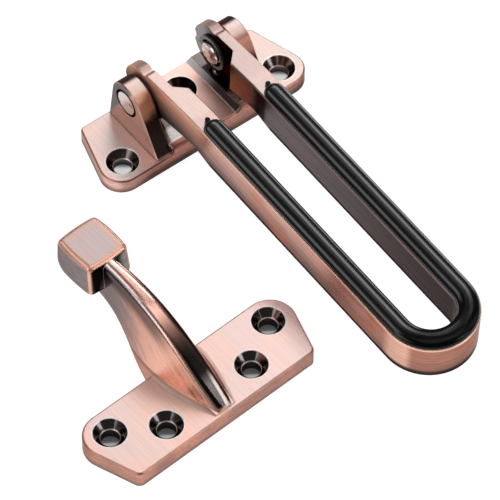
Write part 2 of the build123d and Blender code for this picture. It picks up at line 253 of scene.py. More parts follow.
def brush_lines(finish, place, cells):
    """Scratches along the axes with few cells: fine ones on top of broader ones, around 0.5."""
    fine = finish.noise(place, [count * FINER for count in cells])
    broad = finish.noise(place, cells)
    return finish.level(BROAD_SHARE, fine, broad)


print("brushed lines per mm on the tops:", TOP_LINES[0], "to", TOP_LINES[0] * FINER)

# %% Missed corners and rounded edges
CORNER_SAMPLES = 6
ROUNDED_EDGE = (0.99, 0.93)


def closed_in(finish, reach):
    """1 in corners and recesses, 0 on open faces."""
    inputs = {"Distance": reach * MM}
    openness = finish.add("AmbientOcclusion", inputs, samples=CORNER_SAMPLES, only_local=True)
    return finish.minus(1.0, openness.outputs["AO"])


def sloping(finish, here):
    """1 where the surface faces along none of the three axes, as bevels and rounded edges do."""
    steepest = finish.math("ABSOLUTE", here.face_x)
    for part in (here.face_y, here.face_z):
        steepest = finish.math("MAXIMUM", steepest, finish.math("ABSOLUTE", part))
    return finish.fade(steepest, *ROUNDED_EDGE)


print("corners and edges ready")

# %% The copper itself
EDGE_RADIUS = 0.25 * MM
EDGE_SAMPLES = 4
SCRATCH_STRENGTH = 0.12
SCRATCH_DEPTH = 0.02 * MM
GLOSS_SWING = 0.25


def finish_copper(finish, colour, roughness, lines, contrast):
    """Puts the brushed lines into colour, roughness and bump, and rounds the edges."""
    swing = finish.times(finish.minus(lines, NOISE_MIDDLE), contrast)
    lined = finish.add("HueSaturation", {"Value": finish.plus(swing, 1.0), "Color": colour}).outputs[0]
    soft_edges = finish.add("Bevel", {"Radius": EDGE_RADIUS}, samples=EDGE_SAMPLES).outputs[0]
    scratches = {"Height": lines, "Strength": SCRATCH_STRENGTH, "Distance": SCRATCH_DEPTH}
    bumped = finish.add("Bump", {**scratches, "Normal": soft_edges}).outputs[0]
    finish.surface(metallic=1.0, base_color=lined, specular_tint=DULL_GRAZING, normal=bumped)
    finish.surface(roughness=finish.plus(roughness, finish.times(swing, GLOSS_SWING)))


print("copper with edges rounded by", EDGE_RADIUS / MM, "mm")

# %% [markdown]
# ## Countersunk holes
# A countersink is cut before plating and no brush reaches into it, so the cone stays glossy black. Its two
# edges, the mouth and the narrow lip where the cone meets the bore, get a painted highlight. They could be
# painted by hand for each hole, but both follow from the distance to the hole's axis, which the record
# gives.

# %% Distance to the screw holes
mounts = {mount["name"]: mount for mount in frame["record"]["mounts"]}


def near_holes(finish, x, y, centres):
    """Distance in plan to the nearest of these hole axes, in millimetres."""
    flat = finish.add("CombineXYZ", {0: x, 1: y}).outputs[0]
    nearest = None
    for centre in centres:
        inputs = {0: flat, 1: (*centre, 0.0)}
        gap = finish.add("VectorMath", inputs, operation="DISTANCE").outputs["Value"]
        nearest = gap if nearest is None else finish.math("MINIMUM", nearest, gap)
    return nearest


print("mounts in the record:", sorted(mounts))

# %% Screw hole masks
SCREW_MOUTH = 8.9 / 2
SCREW_BORE = mounts["hinge_screws"]["dims"]["hole_r_mm"]
CONE_EDGE = (SCREW_MOUTH + 0.02, SCREW_MOUTH - 0.10)
MOUTH_INNER = (SCREW_MOUTH - 0.22, SCREW_MOUTH - 0.05)
MOUTH_OUTER = (SCREW_MOUTH + 0.38, SCREW_MOUTH + 0.18)
BORE_LIP = (SCREW_BORE + 0.34, SCREW_BORE + 0.14)
LIP_FACE = (0.15, 0.4)


def screw_hole_masks(finish, here, centres):
    """The black inside of countersunk holes, and painted highlights on the edges at their mouths and bores.
    """
    distance = near_holes(finish, here.x, here.y, centres)
    cone = finish.fade(distance, *CONE_EDGE)
    mouth = finish.band(distance, MOUTH_INNER, MOUTH_OUTER)
    lip = finish.all_of(finish.fade(distance, *BORE_LIP), finish.fade(here.face_z, *LIP_FACE))
    rim_highlights = finish.any_of(mouth, lip)
    return finish.minus(cone, finish.times(cone, rim_highlights)), rim_highlights


print("screw holes: mouth", 2 * SCREW_MOUTH, "mm, bore", 2 * SCREW_BORE, "mm")

# %% [markdown]
# ## The keeper
# One casting: a plate with four countersunk holes, a horn that grows out of it, and a pillow-shaped
# knob. The plate's top was brushed last, so it is the palest, and it is painted paler still as a highlight
# from the lamps above. The horn keeps more of the red tone, which turns grey-brown towards the knob. Its
# ridge is polished smooth, so that it mirrors the lamps, and its colours are painted reflections: copper
# and grey towards the knob, black towards the foot, with a painted highlight along the near crease and
# painted shade along the far edge. Its toe gets a painted glint, its far skirt a painted pale reflection
# and its far foot painted shade. The screw holes and the knob's front face, which no brush reaches, are
# still black. Such a piece could be cut into regions with a material each, but hard borders would show.
# Here one material fades from region to region, in the keeper's own frame, which is found from the
# screw holes named in the record.

# %% Keeper frame and screw holes
keeper_origin = Vector(mounts["keeper_outer_screws"]["pos_m"])
keeper_front = Vector(mounts["keeper_inner_screws"]["pos_m"]) - keeper_origin
keeper_turn = math.atan2(keeper_front.x, -keeper_front.y)
keeper_frame = (keeper_origin, (0.0, 0.0, keeper_turn))
outer_half = mounts["keeper_outer_screws"]["dims"]["pcd_mm"] / 2
inner_half = mounts["keeper_inner_screws"]["dims"]["pcd_mm"] / 2
inner_row = -keeper_front.length / MM
keeper_holes = [(side * outer_half, 0.0) for side in (-1, 1)]
keeper_holes += [(side * inner_half, inner_row) for side in (-1, 1)]
print("keeper turned by", round(math.degrees(keeper_turn), 2), "degrees, holes at", keeper_holes)

# %% Regions of the keeper
KEEPER_TOP = 5.2
WALL_TOP = (KEEPER_TOP - 0.1, KEEPER_TOP - 0.6)
HORN_START = (KEEPER_TOP + 0.7, KEEPER_TOP + 1.3)
HORN_SIDE_FACE = (0.55, 0.70)
KNOB_FRONT = 30.7
KNOB_START = (KNOB_FRONT - 0.35, KNOB_FRONT - 0.1)
KNOB_LEAN = 0.07
KNOB_LEAN_HEIGHT = 20.0
KNOB_SIDE_FACE = (0.6, 0.3)
KNOB_EDGE_FACE = (0.92, 0.80)
KNOB_FRONT_FACE = (-0.75, -0.95)
KNOB_FRONT_END = (34.0, 32.8)


def keeper_regions(finish, here):
    """The level top and the walls of the plate, the horn's sides and ridge, and the knob's faces."""
    sideways = finish.math("ABSOLUTE", here.face_x)
    lean = finish.times(finish.minus(here.z, KNOB_LEAN_HEIGHT), KNOB_LEAN)
    knob = finish.fade(finish.minus(here.y, lean), *KNOB_START)
    forwards = finish.fade(here.face_y, *KNOB_FRONT_FACE)
    horn = finish.all_of(finish.fade(here.z, *HORN_START), finish.minus(1.0, knob))
    return SimpleNamespace(
        level=finish.fade(here.face_z, *LEVEL_FACE),
        wall=finish.all_of(finish.fade(here.z, *WALL_TOP), finish.fade(here.face_z, *STEEP_FACE)),
        horn=horn,
        horn_side=finish.all_of(horn, finish.fade(sideways, *HORN_SIDE_FACE)),
        ridge=finish.all_of(horn, finish.fade(sideways, *reversed(HORN_SIDE_FACE))),
        knob=knob,
        knob_side=finish.all_of(knob, finish.fade(here.face_z, *KNOB_SIDE_FACE)),
        knob_edge=finish.all_of(knob, sloping(finish, here), finish.fade(sideways, *KNOB_EDGE_FACE)),
        knob_front=finish.all_of(knob, forwards, finish.fade(here.y, *KNOB_FRONT_END)),
    )


print("plate", KEEPER_TOP, "mm high, knob from", KNOB_FRONT, "mm behind the outer screws")

# %% The horn's skirt
SKIRT_START = (KEEPER_TOP, KEEPER_TOP + 0.06)
NEAR_SKIRT_END = (KEEPER_TOP + 1.1, KEEPER_TOP + 0.6)
NEAR_SKIRT_FACE = (0.0, -0.15)
FAR_SKIRT_END = (KEEPER_TOP + 0.6, KEEPER_TOP + 0.4)
FAR_SKIRT_FACE = (0.0, 0.15)
FAR_FOOT_END = (KEEPER_TOP + 2.4, KEEPER_TOP + 1.8)
FAR_FOOT_FACE = (0.72, 0.85)
# The horn's toe, where a glint is painted.
TOE_START = (KEEPER_TOP + 0.3, KEEPER_TOP + 0.5)
TOE_REACH = (-4.5, -8.5)
TOE_FACE = ((-0.02, 0.12), (0.50, 0.40))


def skirt_regions(finish, here):
    """Where the horn meets the plate: its skirt on the near and the far side, its far foot, and its toe,
    where a glint is painted.
    """
    near_height = finish.band(here.z, SKIRT_START, NEAR_SKIRT_END)
    near = finish.times(near_height, finish.fade(here.face_x, *NEAR_SKIRT_FACE))
    far_height = finish.band(here.z, SKIRT_START, FAR_SKIRT_END)
    far = finish.times(far_height, finish.fade(here.face_x, *FAR_SKIRT_FACE))
    above_skirt = finish.band(here.z, reversed(FAR_SKIRT_END), FAR_FOOT_END)
    far_foot = finish.times(above_skirt, finish.fade(here.face_x, *FAR_FOOT_FACE))
    toe_glint = finish.all_of(
        finish.fade(here.z, *TOE_START),
        finish.fade(here.y, *TOE_REACH),
        finish.band(here.face_x, *TOE_FACE),
    )
    return SimpleNamespace(near=near, far=far, far_foot=far_foot, toe_glint=toe_glint)


print("the skirt ends", round(NEAR_SKIRT_END[0] - KEEPER_TOP, 2), "mm above the plate")

# %% Brushed lines of the keeper
HORN_SLOPE = math.radians(-32.0)
HORN_LINES = (0.5, 0.03, 0.8)


def keeper_lines(finish, here, region):
    """Lines across the plate, up the horn and along the walls, and those of the horn alone."""
    tilted = finish.add("Mapping", {"Vector": here.place, "Rotation": (HORN_SLOPE, 0.0, 0.0)}).outputs[0]
    up_horn = brush_lines(finish, tilted, HORN_LINES)
    lines = finish.level(region.horn, brush_lines(finish, here.place, TOP_LINES), up_horn)
    walls = finish.any_of(region.wall, region.knob_side)
    return finish.level(walls, lines, brush_lines(finish, here.place, WALL_LINES)), up_horn


print("the horn is brushed at", round(math.degrees(HORN_SLOPE)), "degrees")

# %% Colours of the plate
# The tops are paler than the walls partly from brushing and partly as a painted highlight from the lamps
# above.
PALE_WARM = (1.0, 0.66, 0.56)
PALE_GREY = (0.89, 0.685, 0.64)
SKIRT_SHADE = (0.20, 0.14, 0.125)
SKIRT_SHADE_SHARE = 0.45
# The walls are darkened towards the foot as painted shade.
WALL_FOOT_SHADE = (3.4, 1.6)
WALL_FOOT_CLOUDS = 3.0
WALL_FOOT_SHARE = 0.7


def plate_colour(finish, here, region, skirt, cloud):
    """Pale clouds on top, partly a painted highlight, red and brown walls with painted shade at the foot,
    and painted shade at the skirt's near side.
    """
    clouded = finish.fade(cloud, *CLOUD_FADE)
    foot_shade = finish.fade(finish.plus(here.z, finish.times(cloud, WALL_FOOT_CLOUDS)), *WALL_FOOT_SHADE)
    walls = finish.colour(clouded, TONED, TONED_BROWN)
    return finish.paint(
        walls,
        (finish.times(foot_shade, WALL_FOOT_SHARE), OXIDE),
        (region.level, finish.colour(clouded, PALE_WARM, PALE_GREY)),
        (finish.times(skirt.near, SKIRT_SHADE_SHARE), SKIRT_SHADE),
    )


print("plate tones:", [PALE_WARM, PALE_GREY])

# %% Colours of the horn's sides
HORN_SALMON = (0.90, 0.49, 0.37)
HORN_BROWN = (0.58, 0.335, 0.27)
HORN_NECK = (0.235, 0.205, 0.205)
BROWN_REACH = (0.0, 19.0)
NECK_REACH = (10.0, 29.0)
STREAK_LENGTH = 60.0
RIDGE_HEIGHT = 15.0
RIDGE_RISE = 0.55
RIDGE_BOW = 0.0095
RIDGE_SHADE = (0.06, 0.045, 0.042)
RIDGE_SHADE_DEPTH = (6.0, 2.0)
RIDGE_SHADE_REACH = (0.0, 11.0)
RIDGE_SHADE_SHARE = 0.75


def horn_side_colour(finish, here, up_horn):
    """Salmon at the foot, streaked into grey at the neck, and dark under the ridge."""
    streaked = finish.plus(here.y, finish.times(finish.minus(up_horn, NOISE_MIDDLE), STREAK_LENGTH))
    bow = finish.times(here.y, finish.minus(RIDGE_RISE, finish.times(here.y, RIDGE_BOW)))
    below_ridge = finish.minus(finish.plus(bow, RIDGE_HEIGHT), here.z)
    shade = finish.fade(below_ridge, *RIDGE_SHADE_DEPTH)
    shade = finish.all_of(shade, finish.fade(here.y, *RIDGE_SHADE_REACH), RIDGE_SHADE_SHARE)
    return finish.paint(
        HORN_SALMON,
        (finish.fade(streaked, *BROWN_REACH), HORN_BROWN),
        (finish.fade(streaked, *NECK_REACH), HORN_NECK),
        (shade, RIDGE_SHADE),
    )


print("horn tones:", [HORN_SALMON, HORN_BROWN, HORN_NECK])

# %% Colours of the horn's ridge
# The ridge's colours are painted reflections: copper and grey towards the knob, black towards the foot.
RIDGE_RED = (0.23, 0.115, 0.09)
RIDGE_COPPER = (1.0, 0.58, 0.48)
RIDGE_BLACK = (0.024, 0.019, 0.019)
RIDGE_GREY = (0.80, 0.64, 0.60)
COPPER_REACH = (6.0, 17.0)
BLACK_REACH = (10.0, -1.0)
GREY_REACH = (24.0, 31.0)
# A painted highlight along the near crease and painted shade along the far edge.
CREASE_FACE = ((-0.78, -0.66), (-0.30, -0.46))
CREASE_ORANGE = (0.86, 0.50, 0.40)
CREASE_GREY = (0.60, 0.50, 0.49)
CREASE_REACH = (0.0, 16.0)
FAR_EDGE_FACE = ((0.32, 0.46), (0.82, 0.72))
FAR_EDGE_REACH = (30.0, 18.0)
FAR_EDGE_SHADE = (0.06, 0.025, 0.02)


def ridge_painted_reflections(finish, here, region):
    """Painted reflections on the ridge, copper above and black below, a painted highlight on the near crease
    and painted shade on the far edge.
    """
    ridge = finish.paint(
        RIDGE_RED,
        (finish.fade(here.y, *COPPER_REACH), RIDGE_COPPER),
        (finish.fade(here.y, *BLACK_REACH), RIDGE_BLACK),
        (finish.fade(here.y, *GREY_REACH), RIDGE_GREY),
    )
    crease = finish.all_of(region.horn, finish.band(here.face_x, *CREASE_FACE))
    crease_colour = finish.colour(finish.fade(here.y, *CREASE_REACH), CREASE_ORANGE, CREASE_GREY)
    far_edge = finish.all_of(
        region.horn, finish.band(here.face_x, *FAR_EDGE_FACE), finish.fade(here.y, *FAR_EDGE_REACH)
    )
    return [(region.ridge, ridge), (crease, crease_colour), (far_edge, FAR_EDGE_SHADE)]


print("ridge tones:", [RIDGE_BLACK, RIDGE_RED, RIDGE_COPPER, RIDGE_GREY])

# %% Colours of the knob
KNOB_MIDDLE = 37.6
KNOB_GREY = (0.62, 0.50, 0.49)
KNOB_RED = (0.70, 0.47, 0.41)
KNOB_RED_START = (3.0, 6.2)
KNOB_CLOUDS = 5.0
KNOB_SIDE = (0.25, 0.215, 0.215)
KNOB_EDGE = (0.86, 0.46, 0.34)
KNOB_FRONT_BLACK = (0.02, 0.018, 0.018)
KNOB_FRONT_GREY = (0.24, 0.23, 0.225)
KNOB_FRONT_FADE = (2.5, 5.0)


def knob_coats(finish, here, region, cloud):
    """Greyish on its faces, orange on its rounded edges, black towards the horn."""
    off_middle = finish.math("ABSOLUTE", finish.minus(here.y, KNOB_MIDDLE))
    off_middle = finish.math("MAXIMUM", off_middle, finish.math("ABSOLUTE", here.x))
    off_middle = finish.plus(off_middle, finish.times(finish.minus(cloud, NOISE_MIDDLE), KNOB_CLOUDS))
    top = finish.colour(finish.fade(off_middle, *KNOB_RED_START), KNOB_GREY, KNOB_RED)
    front = finish.colour(finish.fade(here.x, *KNOB_FRONT_FADE), KNOB_FRONT_BLACK, KNOB_FRONT_GREY)
    return [
        (finish.all_of(region.knob, region.level), top),
        (region.knob_side, KNOB_SIDE),
        (region.knob_edge, KNOB_EDGE),
        (region.knob_front, front),
    ]


print("knob tones:", [KNOB_GREY, KNOB_RED, KNOB_SIDE, KNOB_EDGE])

# %% Keeper finish
# The far skirt is painted pale as a reflection, and the far foot dark as painted shade.
FAR_SKIRT_REFLECTION = (1.0, 0.76, 0.67)
FAR_FOOT_SHADE = (0.13, 0.045, 0.034)
keeper_rough = SimpleNamespace(top=0.47, sides=0.27, ridge=0.24, skirt=0.5, knob_edge=0.40, black=0.13)
keeper_contrast = SimpleNamespace(top=0.5, sides=1.5)


def make_keeper_finish():
    finish = Finish("keeper_copper")
    here = finish.look(*keeper_frame)
    cloud = finish.noise(here.place, CLOUD_CELLS)
    region = keeper_regions(finish, here)
    skirt = skirt_regions(finish, here)
    inside_hole, rim_highlights = screw_hole_masks(finish, here, keeper_holes)
    lines, up_horn = keeper_lines(finish, here, region)
    colour = finish.paint(
        plate_colour(finish, here, region, skirt, cloud),
        (region.horn_side, horn_side_colour(finish, here, up_horn)),
        *ridge_painted_reflections(finish, here, region),
        # A painted glint on the toe, a painted pale reflection on the far skirt and painted shade on the far
        # foot.
        (skirt.toe_glint, PAINTED_HIGHLIGHT),
        (skirt.far, FAR_SKIRT_REFLECTION),
        (skirt.far_foot, FAR_FOOT_SHADE),
        *knob_coats(finish, here, region, cloud),
        # Painted highlights on the holes' mouths and lips.
        (rim_highlights, PAINTED_HIGHLIGHT),
        (inside_hole, OXIDE),
    )
    sides = finish.any_of(region.wall, region.horn_side, region.knob_side)
    roughness = finish.layer(
        keeper_rough.top,
        (sides, keeper_rough.sides),
        (region.ridge, keeper_rough.ridge),
        (finish.any_of(skirt.near, skirt.far), keeper_rough.skirt),
        (region.knob_edge, keeper_rough.knob_edge),
        (finish.any_of(inside_hole, region.knob_front), keeper_rough.black),
    )
    contrast = finish.level(sides, keeper_contrast.top, keeper_contrast.sides)
    finish_copper(finish, colour, roughness, lines, contrast)
    return finish.material


dress("keeper", make_keeper_finish())

# %% [markdown]
# ## The hinge plate
# Two tabs with a screw hole each, a middle pad between two raised lands, and the two ears that hold the
# pins. The tops are brushed pale and painted paler still as a highlight, the pad most of all as painted
# light, and the rims of the ears carry painted reflections. The inner faces of the ears are out of the
# brush's reach and stay dark and glossy. The lands under the eyes are dark partly for that reason and
# partly as painted shade, the slopes beside the pad are black with a painted grey reflection towards the
# back, and the ears' fronts and the foot of the walls are darkened as painted shade. The plate is the same
# on both sides, so most regions are measured outwards from its middle.

# %% Hinge plate frame and screw holes
hinge_half = mounts["hinge_screws"]["dims"]["spacing_x_mm"] / 2
middle_screw = Vector(mounts["hinge_middle_screw"]["pos_m"]) / MM
hinge_holes = [(-hinge_half, 0.0), (hinge_half, 0.0), (middle_screw.x, middle_screw.y)]
joints = {joint["name"]: joint for joint in frame["record"]["behaviour"]["joints"]}
pin_axis = Vector(joints["bar_swing"]["pos_m"])


def look_at_hinge(finish):
    """Places and facings on the hinge plate, with the distance from its middle and the outward facing."""
    here = finish.look()
    here.across = finish.math("ABSOLUTE", here.x)
    here.outwards = finish.times(here.face_x, finish.math("SIGN", here.x))
    return here


print("hinge holes at", hinge_holes, "and pins at", in_mm([pin_axis]))

# %% Regions of the plate, the pad and the lands
PAD_HALF = 6.9
LAND_START = 8.6
EAR_INNER = 13.9
RAISED = (5.6, 5.9)
WALL_END = (7.0, 6.5)
PAD_EDGE = (PAD_HALF + 0.1, PAD_HALF - 0.1)
BESIDE_PAD = ((PAD_HALF, PAD_HALF + 0.15), (LAND_START + 0.1, LAND_START))
ON_LAND = ((LAND_START - 0.1, LAND_START + 0.1), (EAR_INNER, EAR_INNER - 0.2))
SLOPE_FACE = (-0.3, -0.15)
LAND_LIP = -4.2
LAND_FRONT = (LAND_LIP - 0.6, LAND_LIP + 0.4)


def hinge_regions(finish, here):
    """Level tops and walls, the middle pad, the slopes beside it, and the lands with their front lips."""
    level = finish.fade(here.face_z, *LEVEL_FACE)
    raised = finish.fade(here.z, *RAISED)
    on_land = finish.all_of(raised, finish.band(here.across, *ON_LAND))
    beside_pad = finish.all_of(raised, finish.band(here.across, *BESIDE_PAD))
    return SimpleNamespace(
        level=level,
        wall=finish.all_of(finish.fade(here.face_z, *STEEP_FACE), finish.fade(here.z, *WALL_END)),
        pad=finish.all_of(finish.fade(here.across, *PAD_EDGE), level),
        slope=finish.all_of(beside_pad, finish.fade(here.face_y, *SLOPE_FACE)),
        land=finish.all_of(on_land, finish.fade(here.y, *LAND_FRONT)),
        lip=finish.all_of(on_land, finish.fade(here.y, *reversed(LAND_FRONT))),
    )


print("pad", 2 * PAD_HALF, "mm wide, lands from", LAND_START, "to", EAR_INNER, "mm off the middle")

# %% Regions of the ears
EAR_START = (EAR_INNER - 0.1, EAR_INNER)
EAR_OUTER = 18.85
EAR_FRONT_EDGE = (EAR_OUTER + 0.1, EAR_OUTER - 0.3)
EAR_CLOUDS = 6.0
EAR_DARK_HEIGHT = (17.6, 13.8)
EAR_FOOT = (4.4, 5.2)
EAR_FRONT_FACE = (-0.55, -0.75)
EAR_INSIDE_FACE = (-0.6, -0.9)
EAR_SIDE_FACE = (0.6, 0.9)
EAR_SIDE_FOOT = (4.5, 5.0)
EAR_RIM_FACE = (0.6, 0.4)
EAR_RIM_HEIGHT = (9.0, 12.0)
RIM_BACK_HEIGHT = (12.0, 14.0)
RIM_BACK_BAND = ((8.4, 9.8), (14.5, 13.0))
COUNTERBORE = 4.25
COUNTERBORE_EDGE = (COUNTERBORE + 0.05, COUNTERBORE - 0.05)


def ear_regions(finish, here, cloud):
    """The ears' inner and outer sides, their fronts for painted shade, rims and rim backs for painted
    reflections, and counterbores for painted shade in the gap.
    """
    ear = finish.fade(here.across, *EAR_START)
    rim = finish.all_of(ear, finish.fade(here.outwards, *EAR_RIM_FACE))
    clouded_height = finish.plus(here.z, finish.times(finish.minus(cloud, NOISE_MIDDLE), EAR_CLOUDS))
    dark_front = finish.all_of(
        finish.fade(clouded_height, *EAR_DARK_HEIGHT), finish.fade(here.z, *EAR_FOOT),
        finish.fade(here.face_y, *EAR_FRONT_FACE), finish.fade(here.across, *EAR_FRONT_EDGE),
    )
    beside_pin = finish.add("CombineXYZ", {1: here.y, 2: here.z}).outputs[0]
    gap_inputs = {0: beside_pin, 1: (0.0, pin_axis.y / MM, pin_axis.z / MM)}
    pin_gap = finish.add("VectorMath", gap_inputs, operation="DISTANCE").outputs["Value"]
    outer_side = finish.all_of(ear, finish.fade(here.outwards, *EAR_SIDE_FACE))
    rim_back = finish.times(finish.fade(here.z, *RIM_BACK_HEIGHT), finish.band(here.y, *RIM_BACK_BAND))
    return SimpleNamespace(
        inside=finish.all_of(ear, finish.fade(here.outwards, *EAR_INSIDE_FACE)),
        side=finish.all_of(outer_side, finish.fade(here.z, *EAR_SIDE_FOOT)),
        front=finish.all_of(ear, dark_front),
        rim=finish.all_of(rim, finish.fade(here.z, *EAR_RIM_HEIGHT)),
        rim_back=finish.all_of(rim, rim_back),
        counterbore=finish.all_of(ear, finish.fade(pin_gap, *COUNTERBORE_EDGE)),
    )


print("ears from", EAR_INNER, "to", EAR_OUTER, "mm off the middle, with", 2 * COUNTERBORE, "mm counterbores")

# %% Colours of the tops and walls
# The tops are paler than the walls partly from brushing and partly as a painted highlight; the pad is
# painted paler still, as painted light.
HINGE_TOP_WARM = (0.86, 0.60, 0.515)
HINGE_TOP_GREY = (0.75, 0.615, 0.58)
PAD_PAINTED_LIGHT = (0.98, 0.62, 0.54)
END_WALL = (0.75, 0.47, 0.39)
END_WALL_FACE = (0.4, 0.8)
# The ears' rims carry painted reflections, orange on the left ear and brown on the right.
RIM_ORANGE_REFLECTION = (0.86, 0.44, 0.29)
RIM_BROWN_REFLECTION = (0.42, 0.20, 0.145)
RIM_CHANGE = (-1.0, 1.0)
# The front wall is darkened towards its foot as painted shade, more strongly left of the middle.
FRONT_FACE = (-0.5, -0.9)
FRONT_START = (-28.0, -20.0)
FRONT_RED = (0.34, 0.155, 0.12)
FRONT_FOOT_SHADE = (0.065, 0.04, 0.036)
FRONT_HEIGHT = (4.3, 1.2)
FRONT_SHARES = (0.95, 0.6)
FRONT_SHARE_CHANGE = (0.0, 8.0)


def hinge_base_colour(finish, here, region, ear, clouded):
    """Tops paler than the red walls partly as a painted highlight, the pad paler still as painted light, the
    ears' rims with painted reflections, and a front wall darkened to its foot as painted shade.
    """
    end_wall = finish.all_of(region.wall, finish.fade(finish.math("ABSOLUTE", here.face_x), *END_WALL_FACE))
    rim_colour = finish.colour(finish.fade(here.x, *RIM_CHANGE), RIM_ORANGE_REFLECTION, RIM_BROWN_REFLECTION)
    front_share = finish.level(finish.fade(here.x, *FRONT_SHARE_CHANGE), *FRONT_SHARES)
    front = finish.all_of(
        region.wall, finish.fade(here.face_y, *FRONT_FACE), finish.fade(here.x, *FRONT_START), front_share
    )
    front_colour = finish.colour(finish.fade(here.z, *FRONT_HEIGHT), FRONT_RED, FRONT_FOOT_SHADE)
    tops = finish.paint(finish.colour(clouded, HINGE_TOP_WARM, HINGE_TOP_GREY), (region.pad, PAD_PAINTED_LIGHT))
    walls = finish.colour(clouded, TONED, TONED_BROWN)
    return finish.paint(
        walls, (end_wall, END_WALL), (ear.rim, rim_colour), (front, front_colour), (region.level, tops)
    )


print("hinge tops:", [HINGE_TOP_WARM, HINGE_TOP_GREY, PAD_PAINTED_LIGHT])

# %% Colours of the ears' sides and rim backs, the lips, the wall foot, slopes and lands
# Painted dark reflection on the rim backs, painted reflections on the ears' outer sides, and painted shade
# at the foot of the walls.
RIM_BACK_REFLECTION = (0.085, 0.055, 0.05)
EAR_COPPER_REFLECTION = (0.74, 0.48, 0.40)
EAR_GREY_REFLECTION = (0.19, 0.175, 0.18)
EAR_GREY_SLANT = 0.6
EAR_GREY_START = (17.2, 18.8)
LIP = (0.36, 0.16, 0.12)
FOOT_SHADE = (0.06, 0.045, 0.042)
FOOT_HEIGHT = (2.6, 0.4)
FOOT_SHARE = 0.7
# Painted grey reflections on the slopes towards the back and on the lands in front of the eyes.
SLOPE_BLACK = (0.014, 0.009, 0.009)
SLOPE_GREY_REFLECTION = (0.28, 0.255, 0.255)
SLOPE_REACH = (3.0, 18.0)
LAND_GREY_REFLECTION = (0.42, 0.38, 0.375)
LAND_GREY_REACH = (0.8, -0.8)


def ear_lip_and_foot_coats(finish, here, region, ear):
    """Painted dark reflection on the rim backs and painted reflections on the ears' sides, the lands' lips,
    and painted shade at the foot of the walls.
    """
    slanted = finish.plus(here.y, finish.times(here.z, EAR_GREY_SLANT))
    ear_side = finish.colour(finish.fade(slanted, *EAR_GREY_START), EAR_COPPER_REFLECTION, EAR_GREY_REFLECTION)
    foot_shade = finish.all_of(region.wall, finish.fade(here.z, *FOOT_HEIGHT))
    return [
        (ear.rim_back, RIM_BACK_REFLECTION),
        (ear.side, ear_side),
        (region.lip, LIP),
        (finish.times(foot_shade, FOOT_SHARE), FOOT_SHADE),
    ]


def land_coats(finish, here, region):
    """The black slopes beside the pad, with a painted grey reflection towards the back, and the lands: dark
    under the eyes, partly patina and partly painted shade, and a painted grey reflection in front of them.
    """
    slope = finish.colour(finish.fade(here.y, *SLOPE_REACH), SLOPE_BLACK, SLOPE_GREY_REFLECTION)
    land = finish.colour(finish.fade(here.y, *LAND_GREY_REACH), OXIDE, LAND_GREY_REFLECTION)
    return [(region.slope, slope), (region.land, land)]


print("dark tones of the hinge plate:", [RIM_BACK_REFLECTION, FOOT_SHADE, SLOPE_BLACK])

# %% Hinge plate finish
MISSED_REACH = 1.0
MISSED_CORNER = (0.34, 0.52)
MISSED_SHARE = 0.85
DEEP_BLACK = (0.04, 0.025, 0.022)
hinge_rough = SimpleNamespace(top=0.45, walls=0.24, pad=0.42, black=0.16)
hinge_contrast = SimpleNamespace(top=0.55, walls=1.6)


def make_hinge_finish():
    finish = Finish("hinge_copper")
    here = look_at_hinge(finish)
    cloud = finish.noise(here.place, CLOUD_CELLS)
    region = hinge_regions(finish, here)
    ear = ear_regions(finish, here, cloud)
    inside_hole, rim_highlights = screw_hole_masks(finish, here, hinge_holes)
    middle_hole = finish.fade(near_holes(finish, here.x, here.y, hinge_holes[2:]), *CONE_EDGE)
    missed = finish.times(finish.fade(closed_in(finish, MISSED_REACH), *MISSED_CORNER), MISSED_SHARE)
    colour = finish.paint(
        hinge_base_colour(finish, here, region, ear, finish.fade(cloud, *CLOUD_FADE)),
        *ear_lip_and_foot_coats(finish, here, region, ear),
        # Painted highlights on the holes' mouths and lips.
        (rim_highlights, PAINTED_HIGHLIGHT),
        *land_coats(finish, here, region),
        # Black patina in the holes, on the ears' inner faces and in missed corners; on the counterbores the
        # same black is painted shade in the gap round the pin heads.
        (finish.any_of(inside_hole, ear.inside, ear.counterbore, missed), OXIDE),
        # The ears' fronts are darkened as painted shade, and the middle hole is black patina.
        (finish.any_of(ear.front, middle_hole), DEEP_BLACK),
    )
    black = finish.any_of(inside_hole, region.slope, region.land, ear.front, ear.inside)
    roughness = finish.layer(
        hinge_rough.top,
        (finish.any_of(region.wall, ear.side), hinge_rough.walls),
        (region.pad, hinge_rough.pad),
        (black, hinge_rough.black),
    )
    walls = finish.any_of(region.wall, region.slope)
    wall_lines = brush_lines(finish, here.place, WALL_LINES)
    lines = finish.level(region.wall, brush_lines(finish, here.place, TOP_LINES), wall_lines)
    contrast = finish.level(walls, hinge_contrast.top, hinge_contrast.walls)
    finish_copper(finish, colour, roughness, lines, contrast)
    return finish.material


dress("hinge_plate", make_hinge_finish())

# %% [markdown]
# ## The swing bar
# A long U that the hand slides along every day. Its outer sides are orange copper under the top edge
# and grow grey-brown lower down as painted shade, with a black line along the bottom edge, and a pale
# band runs round the end. The top edges carry painted highlights. The faces inside the slot keep their
# dark tone. The finish is written in the frame of the leg's top plane, so that one height runs along the
# whole sloping bar, and one distance, from the slot's middle line, runs along both legs and round the end.

# %% Frame and faces of the bar
LEG_BEND = (0.0, -13.61 * MM, 24.97 * MM)
LEG_DROP = math.radians(2.85)
BAR_FRAME = (LEG_BEND, (LEG_DROP, 0.0, 0.0))
U_CENTRE = -82.1
ROUND_END = (U_CENTRE + 6.0, U_CENTRE - 3.0)
UPRIGHT_FACE = (0.6, 0.4)
UNDERSIDE_FACE = (-0.5, -0.8)


